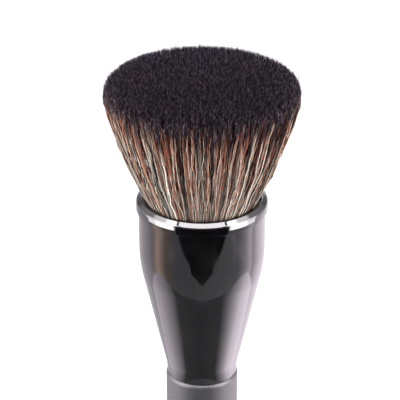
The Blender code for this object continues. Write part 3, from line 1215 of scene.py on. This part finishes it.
@dataclass
class Tuft:
    """One ring of the knot: its bound roots and the fibres that grow from them."""

    name: str
    inner: float
    outer: float
    rings: int
    sectors: int
    finish: Finish
    form: HeadForm
    locks: Locks
    homes: np.ndarray
    seed: int
    gap: float = 0.0003
    root_top_below_lip: float = 0.0030
    sunk: float = 0.0002
    fibre_radius: float = 0.000075
    radius_least_share: float = 0.85
    radius_spread_share: float = 0.3
    tip_radius_share: float = 0.55
    taper_power: float = 2.5
    point_share: float = 0.02
    box_margin_share: float = 1.2
    pull: float = 0.80
    root_pull_share: float = 0.35
    pull_skew: float = 0.8
    pull_release: float = 3.0
    own_sway: float = 0.00005
    own_sway_length: float = 0.0045
    own_sway_least_share: float = 0.5
    settle: float = 0.0035
    shortfall: float = 0.0005
    longest_share: float = 0.4
    stray_share: float = 0.03
    stray_sway: float = 0.0005
    stray_length: float = 0.0005
    odd_share: float = 0.24
    dye_line_below_top: float = 0.0032
    dye_spread: float = 0.0017
    dye_softness: float = 0.0033
    dye_reach: float = 0.0100
    dye_power: float = 3.0
    dye_tilt: float = 0.75
    dye_least: float = 0.0027
    tip_length: float = 0.0010

    def build(self) -> None:
        """Build the roots and every sector of fibres."""
        Roots(name=f"{self.name}_roots", node=self.name, tuft=self).build()
        reach = np.hypot(self.homes[:, 0], self.homes[:, 1])
        mine = self.homes[(reach >= self.inner) & (reach < self.outer)]
        mine = mine[np.argsort(np.arctan2(mine[:, 1], mine[:, 0]))]
        for sector, homes in enumerate(np.array_split(mine, self.sectors)):
            self.grow(sector + 1, homes)

    def grow(self, sector: int, homes: np.ndarray) -> None:
        """Grow the fibres of one sector.

        Args:
            sector: Number of the sector, from 1.
            homes: Place of each fibre in a disc of radius 1.
        """
        chance = np.random.default_rng(self.seed + sector)
        count = len(homes)
        stray = (chance.random(count) < self.stray_share).astype(float)
        heights = self.heights(homes, chance, stray)
        lock = self.locks.nearest(homes)
        centre = self.paths(homes, chance, stray, heights, lock)
        thick = self.radius_least_share + self.radius_spread_share * chance.random((count, 1))
        taper = (1 - self.tip_radius_share) * self.form.climb_share(heights) ** self.taper_power
        turn = chance.random(count) * FULL_TURN
        fibres = FibreShape(self.rings).repeat(count)
        fibres.shape(centre, heights, self.fibre_radius * thick * (1 - taper), turn)
        fibres.spread_map()
        self.colour(fibres, homes, chance, heights, lock)
        name = f"{self.name}_{sector}"
        fibres.mesh.name = name
        place_piece(name, fibres.mesh, self.finish, self.name)

    def heights(self, homes: np.ndarray, chance: np.random.Generator, stray: np.ndarray) -> np.ndarray:
        """Height of each ring of each fibre, from the roots past the mouth to the tip.

        Args:
            homes: Place of each fibre in a disc of radius 1.
            chance: Source of the random draws.
            stray: One for each fibre that strays, else zero.

        Returns:
            Heights from the roots to the tip.
        """
        tips = self.form.tip_heights(np.hypot(homes[:, 0], homes[:, 1]))
        tips = tips + self.shortfall * (self.longest_share - chance.random(len(homes)))
        tips = tips + self.stray_length * stray
        tips = self.form.top - np.abs(self.form.top - tips)
        foot = self.form.ferrule.top - self.root_top_below_lip - self.sunk
        rise = np.append(np.linspace(0.0, 1.0 - self.point_share, self.rings - 1), 1.0)
        above = self.form.mouth + (tips[:, None] - self.form.mouth) * rise
        return np.concatenate([np.full((len(homes), 1), foot), above], axis=1)

    def paths(self, homes: np.ndarray, chance: np.random.Generator, stray: np.ndarray,
              heights: np.ndarray, lock: np.ndarray) -> np.ndarray:
        """Ways of the fibres, drawn to their locks, swaying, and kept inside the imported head.

        Args:
            homes: Place of each fibre in a disc of radius 1.
            chance: Source of the random draws.
            stray: One for each fibre that strays, else zero.
            heights: Height of each ring of each fibre.
            lock: Lock of each fibre.

        Returns:
            Place of each ring of each fibre.
        """
        share = self.form.climb_share(heights)
        arch = self.root_pull_share + (1 - self.root_pull_share) * np.sin(np.pi * share ** self.pull_skew)
        drawn = self.pull * arch * (1 - share ** self.pull_release)
        spots = homes[:, None, :] + (self.locks.homes[lock] - homes)[:, None, :] * drawn[:, :, None]
        centre = spots * self.form.radius_at(heights)[:, :, None]
        climb = heights - self.form.mouth
        aside, out = self.locks.sway(lock, climb)
        phases = chance.random((2, len(homes), 1)) * FULL_TURN
        own = (self.own_sway + self.stray_sway * stray)[:, None]
        turn = FULL_TURN * climb / self.own_sway_length
        least = self.own_sway_least_share
        aside = aside + own * np.sin(turn * (least + chance.random((len(homes), 1))) + phases[0])
        out = out + own * np.sin(turn * (least + chance.random((len(homes), 1))) + phases[1])
        free = np.clip(climb / self.settle, 0.0, 1.0)
        bearing = np.arctan2(homes[:, 1], homes[:, 0])[:, None]
        centre[:, :, 0] += free * (out * np.cos(bearing) - aside * np.sin(bearing))
        centre[:, :, 1] += free * (out * np.sin(bearing) + aside * np.cos(bearing))
        reach = np.hypot(centre[:, :, 0], centre[:, :, 1])
        limit = self.form.limit - self.fibre_radius * self.box_margin_share
        return centre * np.minimum(1.0, limit / np.maximum(reach, TINY_LENGTH))[:, :, None]

    def colour(self, fibres: FibreMesh, homes: np.ndarray, chance: np.random.Generator,
               heights: np.ndarray, lock: np.ndarray) -> None:
        """Let the fibres carry the numbers that their finish reads.

        Args:
            fibres: Mesh of the fibres.
            homes: Place of each fibre in a disc of radius 1.
            chance: Source of the random draws.
            heights: Height of each ring of each fibre.
            lock: Lock of each fibre.
        """
        count = len(homes)
        top = self.form.top
        odd = chance.random(count) < self.odd_share
        tone = np.where(odd, chance.random(count), self.locks.tone[lock])
        depth = np.where(odd, chance.random(count), self.locks.depth[lock]) ** self.dye_power
        line = top - self.dye_line_below_top + self.dye_spread * chance.standard_normal((count, 1))
        tilt = 1 - self.dye_tilt * np.maximum(0.0, -homes[:, 0])
        line = np.minimum(line - self.dye_reach * (depth * tilt)[:, None], top - self.dye_least)
        fibres.carry("lock_tone", tone[:, None])
        fibres.carry("fibre_tone", chance.random((count, 1)))
        fibres.carry("dip", (heights - line) / self.dye_softness + 0.5)
        fibres.carry("climb", self.form.climb_share(heights))
        fibres.carry("tip", 1.0 - (heights[:, -1:] - heights) / self.tip_length)


@dataclass
class Roots(TurnedPiece):
    """Bound roots of one tuft, a ring or disc below the ferrule's lip."""

    name: str = ""
    node: str = ""
    finish: Finish = ROOTS
    tuft: Tuft = None
    steps: int = 72

    def closed(self) -> bool:
        """A ring round the core is a loop of outline."""
        return self.tuft.inner > 0

    def corners(self) -> list[Corner]:
        """Square section between the tuft's two circles.

        Returns:
            Corners of the outline.
        """
        tuft = self.tuft
        foot = tuft.form.root_foot
        top = tuft.form.ferrule.top - tuft.root_top_below_lip
        outer = tuft.form.mouth_radius * tuft.outer - (tuft.gap / 2 if tuft.outer < 1 else 0.0)
        inner = tuft.form.mouth_radius * tuft.inner + (tuft.gap / 2 if tuft.inner > 0 else 0.0)
        return [Corner(inner, top), Corner(outer, top), Corner(outer, foot), Corner(inner, foot)]


@dataclass
class Knot:
    """Whole knot of bristles in its three tufts."""

    form: HeadForm
    fibres: int = 28000
    fibres_each_lock: int = 8
    seed: int = 11
    core_share: float = 5 / 9
    middle_share: float = 7 / 9

    def build(self) -> None:
        """Grow the three tufts, with one set of locks."""
        locks = Locks(self.fibres // self.fibres_each_lock, self.seed)
        common = {"form": self.form, "locks": locks, "homes": disc_points(self.fibres)}
        tufts = [
            Tuft("bristles_core", 0.0, self.core_share,
                 rings=5, sectors=2, finish=DARK_FIBRE, seed=100, **common),
            Tuft("bristles_middle", self.core_share, self.middle_share,
                 rings=7, sectors=2, finish=DARK_FIBRE, seed=200, **common),
            Tuft("bristles_outer", self.middle_share, 1.0,
                 rings=12, sectors=4, finish=MIXED_FIBRE, seed=300, **common),
        ]
        for tuft in tufts:
            tuft.build()


NEUTRAL = (1.0, 0.96, 1.0)
WARM = (1.0, 0.76, 0.64)
LILAC = (1.0, 0.90, 1.0)
UP = (0.0, 0.0, 1.0)
DOWN = (0.0, 0.0, -1.0)
LEFT = (-1.0, 0.0, 0.0)
RIGHT = (1.0, 0.0, 0.0)


@dataclass(frozen=True)
class Card:
    """Flat card of the studio: its centre, the way it faces, its sides and its light.

    The shares are stops of place across its width and share of its light, and
    a card without them glows evenly.
    """

    name: str
    centre: tuple
    faces: tuple
    width: float
    height: float
    light: float = 0.0
    far_share: float = 1.0
    turn: float = 0.0
    shares: tuple = ()

    def build(self) -> None:
        """Make the card, which only reflections see."""
        bm = bmesh.new()
        bm.loops.layers.uv.new(BAKE_MAP)
        bmesh.ops.create_grid(bm, x_segments=1, y_segments=1, size=0.5, calc_uvs=True)
        bmesh.ops.scale(bm, verts=bm.verts[:], vec=(self.width, self.height, 1.0))
        far = [vert for vert in bm.verts if vert.co.y > 0]
        bmesh.ops.scale(bm, verts=far, vec=(self.far_share, 1.0, 1.0))
        bmesh.ops.rotate(bm, verts=bm.verts[:], matrix=Matrix.Rotation(self.turn, 3, "Z"))
        aim = Vector(self.faces).to_track_quat("Z", "Y").to_matrix().to_4x4()
        bmesh.ops.transform(bm, verts=bm.verts[:], matrix=Matrix.Translation(self.centre) @ aim)
        card = add_object(self.name, finish_mesh(bm, self.name))
        card.data.materials.append(self.material())
        for sight in ("camera", "diffuse", "shadow", "transmission"):
            setattr(card, f"visible_{sight}", False)

    def material(self) -> bpy.types.Material:
        """Black card that glows by its shares, or evenly.

        Returns:
            The material.
        """
        material, graph, shader = new_material(self.name)
        colour = (*NEUTRAL, 1.0)
        if self.shares:
            across = graph.node("ShaderNodeSeparateXYZ", {0: graph.node("ShaderNodeTexCoord", output="UV")})
            stops = [(place, (share,) * 3) for place, share in self.shares]
            colour = graph.mix(1.0, graph.ramp(across, stops, "EASE"), NEUTRAL, "MULTIPLY")
        graph.feed(shader, {
            "Base Color": (0.0, 0.0, 0.0, 1.0),
            "Specular IOR Level": 0.0,
            "Emission Color": colour,
            "Emission Strength": self.light,
        })
        return material


@dataclass(frozen=True)
class Softbox:
    """Square lamp: its place, the point it lights, its side and its power."""

    name: str
    centre: tuple
    aim: tuple
    side: float
    power: float

    def build(self) -> None:
        """Hang the lamp."""
        lamp = bpy.data.lights.new(self.name, "AREA")
        lamp.shape = "SQUARE"
        lamp.size = self.side
        lamp.energy = self.power
        box = add_object(self.name, lamp)
        box.location = self.centre
        box.rotation_euler = (Vector(self.aim) - Vector(self.centre)).to_track_quat("-Z", "Y").to_euler()


@dataclass
class Studio:
    """Pale floor, soft light and the camera.

    The lights that the floor shows to the gloss are given round the brush, as
    stops of place in a turn that starts behind it, light and tint.
    """

    look_height: float = 0.1287
    camera_distance: float = 0.45
    camera_elevation: float = math.radians(27)
    focal_pixels: float = 2062.5
    frame_pixels: float = 400.0
    sensor: float = 36.0
    aim_aside_pixels: float = 2.0
    aim_down_pixels: float = 1.0
    floor_side: float = 8.0
    floor_colour: tuple = (0.80, 0.785, 0.81)
    floor_roughness: float = 0.9
    floor_glow: float = 0.24
    floor_far_glow: float = 0.62
    floor_near: float = 0.45
    floor_far: float = 0.95
    world_tint: tuple = (0.975, 0.955, 1.0)
    world_light: float = 0.55
    world_seen: float = 1.0
    near_reach: float = 0.0900
    near_squash: float = 2.0
    far_reach: float = 0.275
    edge_blur: float = 0.003
    reflection_scale: float = 5.0
    far_lights: tuple = (
        (0.00, 0.10, NEUTRAL), (0.08, 0.20, NEUTRAL), (0.13, 0.26, LILAC), (0.19, 0.30, LILAC),
        (0.217, 0.25, LILAC), (0.235, 0.34, WARM), (0.26, 0.62, WARM), (0.285, 0.40, WARM),
        (0.31, 0.20, WARM), (0.36, 0.14, NEUTRAL), (0.50, 0.14, NEUTRAL), (0.60, 0.18, NEUTRAL),
        (0.69, 0.21, NEUTRAL), (0.727, 0.42, LILAC), (0.747, 0.60, LILAC), (0.768, 0.80, LILAC),
        (0.792, 0.46, LILAC), (0.817, 0.60, LILAC), (0.85, 0.60, LILAC), (0.89, 0.48, LILAC),
        (0.94, 0.30, NEUTRAL), (1.00, 0.10, NEUTRAL))
    near_lights: tuple = (
        (0.00, 0.08, NEUTRAL), (0.07, 0.24, LILAC), (0.16, 0.46, LILAC), (0.21, 0.56, LILAC),
        (0.25, 0.50, LILAC), (0.285, 0.40, LILAC), (0.315, 0.24, NEUTRAL), (0.34, 0.076, NEUTRAL),
        (0.50, 0.064, NEUTRAL), (0.63, 0.080, NEUTRAL), (0.665, 0.28, NEUTRAL), (0.71, 0.66, LILAC),
        (0.76, 1.08, LILAC), (0.82, 0.96, LILAC), (0.89, 0.50, LILAC), (0.96, 0.22, LILAC),
        (1.00, 0.08, NEUTRAL))
    horizon_lights: tuple = (
        (0.00, 0.10, NEUTRAL), (0.15, 0.20, NEUTRAL), (0.20, 0.34, LILAC), (0.25, 0.50, WARM),
        (0.268, 4.0, NEUTRAL), (0.362, 4.0, NEUTRAL), (0.374, 0.03, NEUTRAL), (0.626, 0.03, NEUTRAL),
        (0.638, 4.0, NEUTRAL), (0.732, 4.0, NEUTRAL), (0.75, 0.60, LILAC), (0.85, 0.50, NEUTRAL),
        (1.00, 0.10, NEUTRAL))
    left_shares: tuple = (
        (0.0, 0.3), (0.06, 1.0), (0.40, 1.0), (0.47, 0.55), (0.58, 0.50), (0.65, 0.13), (1.0, 0.06))
    right_shares: tuple = (
        (0.0, 0.05), (0.37, 0.10), (0.44, 0.46), (0.55, 0.52), (0.62, 1.0), (0.94, 1.0), (1.0, 0.3))

    def camera(self) -> None:
        """Set the camera where the photograph was taken from."""
        data = bpy.data.cameras.new("camera")
        data.sensor_width = self.sensor
        data.lens = self.sensor * self.focal_pixels / self.frame_pixels
        data.clip_start = self.camera_distance / 100
        data.clip_end = self.floor_side * 4
        camera = add_object("camera", data)
        back = Vector((0.0, -math.cos(self.camera_elevation), math.sin(self.camera_elevation)))
        rise = Vector((0.0, math.sin(self.camera_elevation), math.cos(self.camera_elevation)))
        centre = Vector((0.0, 0.0, self.look_height))
        pixel = self.camera_distance / self.focal_pixels
        aim = centre - Vector(RIGHT) * self.aim_aside_pixels * pixel
        aim = aim + rise * self.aim_down_pixels * pixel
        camera.location = centre + back * self.camera_distance
        camera.rotation_euler = (aim - camera.location).to_track_quat("-Z", "Y").to_euler()
        bpy.context.scene.camera = camera

    def past(self, edge: float, reach: Link) -> Link:
        """One where a reach is past an edge of the floor's bands, else zero, with a soft change."""
        return reach.graph.fit(reach, edge - self.edge_blur, edge + self.edge_blur)

    def band(self, turn: Link, lights: tuple) -> Link:
        """Light of one band of the floor, at a place in the turn."""
        stops = [(place, tuple(light * c for c in tint)) for place, light, tint in lights]
        return turn.graph.ramp(turn, stops)

    def floor_reflection(self, graph: Graph) -> Link:
        """Light of the floor in the gloss: bright at the sides, dim in front and behind.

        Args:
            graph: Graph of the floor's material.

        Returns:
            Colour of the light.
        """
        x, y = graph.plan()
        turn = graph.maths("ARCTAN2", x, y * -1.0) / FULL_TURN + 0.5
        near, far, horizon = (
            self.band(turn, lights) for lights in (self.near_lights, self.far_lights, self.horizon_lights))
        past_near = self.past(self.near_reach, graph.reach(x / self.near_squash, y))
        past_far = self.past(self.far_reach, graph.reach(x, y))
        return graph.mix(past_far, graph.mix(past_near, near, far), horizon)

    def floor(self) -> None:
        """Lay the pale floor, which keeps the brush's shadow."""
        bm = bmesh.new()
        bmesh.ops.create_grid(bm, x_segments=1, y_segments=1, size=self.floor_side / 2)
        floor = add_object("floor", finish_mesh(bm, "floor"))
        material, graph, shader = new_material("floor")
        glow = graph.fit(graph.reach(*graph.plan()), self.floor_near, self.floor_far,
                         self.floor_glow, self.floor_far_glow)
        seen = graph.any_ray("Camera", "Glossy", "Transmission")
        graph.feed(shader, {
            "Base Color": (*self.floor_colour, 1.0),
            "Roughness": self.floor_roughness,
            "Specular IOR Level": 0.0,
            "Emission Color": (*self.world_tint, 1.0),
            "Emission Strength": seen * glow,
        })
        mirrored = graph.node("ShaderNodeEmission", {
            "Color": self.floor_reflection(graph), "Strength": self.reflection_scale})
        both = graph.node("ShaderNodeMixShader", {
            0: graph.any_ray("Glossy"), 1: Link(graph, shader.outputs[0]), 2: mirrored})
        graph.feed(material.node_tree.nodes["Material Output"], {"Surface": both})
        floor.data.materials.append(material)

    def world(self) -> None:
        """Light everything softly from all round, and show white."""
        world = bpy.data.worlds.new("studio")
        world.use_nodes = True
        graph = Graph(world.node_tree)
        looked = graph.any_ray("Camera", "Transmission")
        graph.feed(world.node_tree.nodes["Background"], {
            "Color": (*self.world_tint, 1.0),
            "Strength": self.world_light + looked * (self.world_seen - self.world_light),
        })
        bpy.context.scene.world = world

    def lamps(self) -> list[Softbox]:
        """Soft lamps on the bristles: a key, a fill and one from behind.

        Returns:
            The lamps.
        """
        head = (0.0, 0.0, self.look_height)
        return [
            Softbox("key_lamp", (-1.00, -0.10, 0.52), head, side=0.6, power=14.0),
            Softbox("fill_lamp", (0.92, -0.34, 0.56), head, side=0.6, power=7.8),
            Softbox("back_lamp", (0.15, 0.95, 0.85), head, side=0.7, power=3.5),
        ]

    def cards(self) -> list[Card]:
        """Cards in the gloss: bright above and at both sides, and a dark wedge in front.

        Returns:
            The cards.
        """
        return [
            Card("ceiling_card", (0.0, -0.17, 0.728), DOWN, 0.90, 0.86, 18.0, far_share=0.35),
            Card("left_card", (-0.30, 0.005, 0.33), RIGHT, 0.59, 0.66, 20.0, shares=self.left_shares),
            Card("right_card", (0.30, 0.005, 0.33), LEFT, 0.59, 0.66, 22.0, shares=self.right_shares),
            Card("dark_flag", (0.0, -0.226, 0.095), UP, 0.132, 0.34),
            Card("dark_nose", (0.0, -0.0468, 0.095), UP, 0.040, 0.0196, far_share=0.02, turn=math.pi),
        ]

    def build(self) -> None:
        """Set the stage, hang the lamps and place the cards."""
        bpy.context.scene.view_settings.view_transform = "Standard"
        self.camera()
        self.floor()
        self.world()
        for item in self.lamps() + self.cards():
            item.build()


def main() -> None:
    """Build the brush's pieces, then the studio round them."""
    logging.basicConfig(level=logging.INFO, format="%(name)s: %(message)s")
    ferrule = FerruleSizes()
    form = HeadForm(ferrule)
    Handle(ferrule=ferrule).build()
    Ferrule(sizes=ferrule).build()
    ResinPlug(ferrule=ferrule, roots_foot=form.root_foot, roots_radius=form.mouth_radius).build()
    RootBinding().build()
    Knot(form).build()
    Studio().build()


if __name__ == "__main__":
    main()
